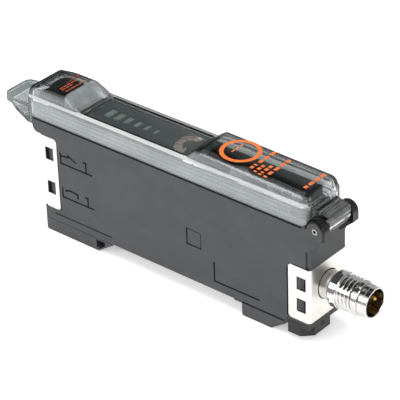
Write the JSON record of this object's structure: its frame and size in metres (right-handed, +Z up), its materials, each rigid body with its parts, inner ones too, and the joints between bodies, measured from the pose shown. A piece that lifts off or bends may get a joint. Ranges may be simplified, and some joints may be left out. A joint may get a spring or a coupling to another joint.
{
  "type": "fibre optic sensor amplifier",
  "caption": "Slim rail-mount fibre optic sensor amplifier: hinged clear domed cover over bar display, geared dial and switches, clamped fibre ports and a round screw connector.",
  "frame": {"origin": "middle of the footprint, at the bottom of the rail feet", "axes": "+X along the case towards the connector, +Y across the case, +Z up away from the rail"},
  "size_m": [0.101, 0.0124, 0.0366],
  "materials": {
    "case_plastic": "finely spark-eroded dark grey moulding",
    "black_plastic": "satin black moulding",
    "stainless_plate": "bright rolled stainless sheet",
    "steel_pin": "rolled tube, satin",
    "clear_plastic": "clear polycarbonate, glossy",
    "white_plastic": "satin white moulding",
    "pale_plastic": "pale grey translucent moulding",
    "grey_plastic": "satin grey moulding",
    "nickel_plate": "nickel-plated turned brass",
    "gold_plate": "gold-plated pins",
    "insert_plastic": "dark moulded insert",
    "circuit_board": "green solder resist",
    "bar_window": "diffusing light guide",
    "clear_resin": "clear cast resin"
  },
  "bodies": {
    "amplifier_body": {"case_shell": "case_plastic", "rear_rail_foot": "case_plastic", "front_rail_foot": "case_plastic", "top_deck": "black_plastic", "fibre_end_plate": "stainless_plate", "connector_end_plate": "stainless_plate", "hinge_pin": "steel_pin", "light_frame": "pale_plastic", "display_panel": "black_plastic", "gear_carrier": "black_plastic", "potentiometer": "black_plastic", "lever_pin": "steel_pin", "fibre_block": "black_plastic", "photo_receiver": "clear_resin", "light_emitter": "clear_resin", "optics_board": "circuit_board", "main_board": "circuit_board", "connector_board": "circuit_board", "connector_shell": "nickel_plate", "connector_ring": "nickel_plate", "connector_nut": "nickel_plate", "connector_insert": "insert_plastic", "mode_switch": "black_plastic", "timer_switch": "black_plastic", "bar_light_1": "bar_window", "bar_light_2": "bar_window", "bar_light_3": "bar_window", "bar_light_4": "bar_window", "bar_light_5": "bar_window", "bar_light_6": "bar_window", "contact_pin_1": "gold_plate", "contact_pin_2": "gold_plate", "contact_pin_3": "gold_plate", "contact_pin_4": "gold_plate"},
    "cover": {"protective_cover": "clear_plastic"},
    "lever": {"lock_lever": "black_plastic"},
    "clamp": {"fibre_clamp": "black_plastic"},
    "adjuster": {"adjuster_screw": "grey_plastic"},
    "dial": {"number_dial": "white_plastic"},
    "idler": {"idler_gear": "white_plastic"},
    "mode_knob": {"mode_slider": "grey_plastic"},
    "timer_knob": {"timer_slider": "grey_plastic"}
  },
  "joints": [
    {"name": "cover_hinge", "type": "hinge", "parent": "amplifier_body", "child": "cover", "pos_m": [0.0395, 0, 0.0285], "axis": [0, 1, 0], "range_deg": [0, 130]},
    {"name": "lever_pivot", "type": "hinge", "parent": "amplifier_body", "child": "lever", "pos_m": [-0.0305, 0, 0.03], "axis": [0, -1, 0], "range_deg": [0, 14]},
    {"name": "clamp_slide", "type": "slide", "parent": "amplifier_body", "child": "clamp", "axis": [0, 0, 1], "range_m": [0, 0.0002305]},
    {"name": "adjuster_turn", "type": "hinge", "parent": "amplifier_body", "child": "adjuster", "pos_m": [0.0155, 0, 0.0232], "axis": [0, 0, 1], "range_deg": [0, 810]},
    {"name": "dial_turn", "type": "hinge", "parent": "amplifier_body", "child": "dial", "pos_m": [0.0015, 0, 0.0232], "axis": [0, 0, 1], "range_deg": [0, 270]},
    {"name": "idler_turn", "type": "hinge", "parent": "amplifier_body", "child": "idler", "pos_m": [0.0099, 0, 0.0232], "axis": [0, 0, 1], "range_deg": [-270, 0]},
    {"name": "mode_slide", "type": "slide", "parent": "amplifier_body", "child": "mode_knob", "axis": [0, 1, 0], "range_m": [0, 0.002]},
    {"name": "timer_slide", "type": "slide", "parent": "amplifier_body", "child": "timer_knob", "axis": [0, 1, 0], "range_m": [0, 0.002]}
  ],
  "couplings": [
    {"joint": "lever_pivot", "follows": "clamp_slide", "rad_per_m": 1059.3},
    {"joint": "dial_turn", "follows": "adjuster_turn", "ratio": 0.33333},
    {"joint": "idler_turn", "follows": "adjuster_turn", "ratio": -0.33333}
  ]
}
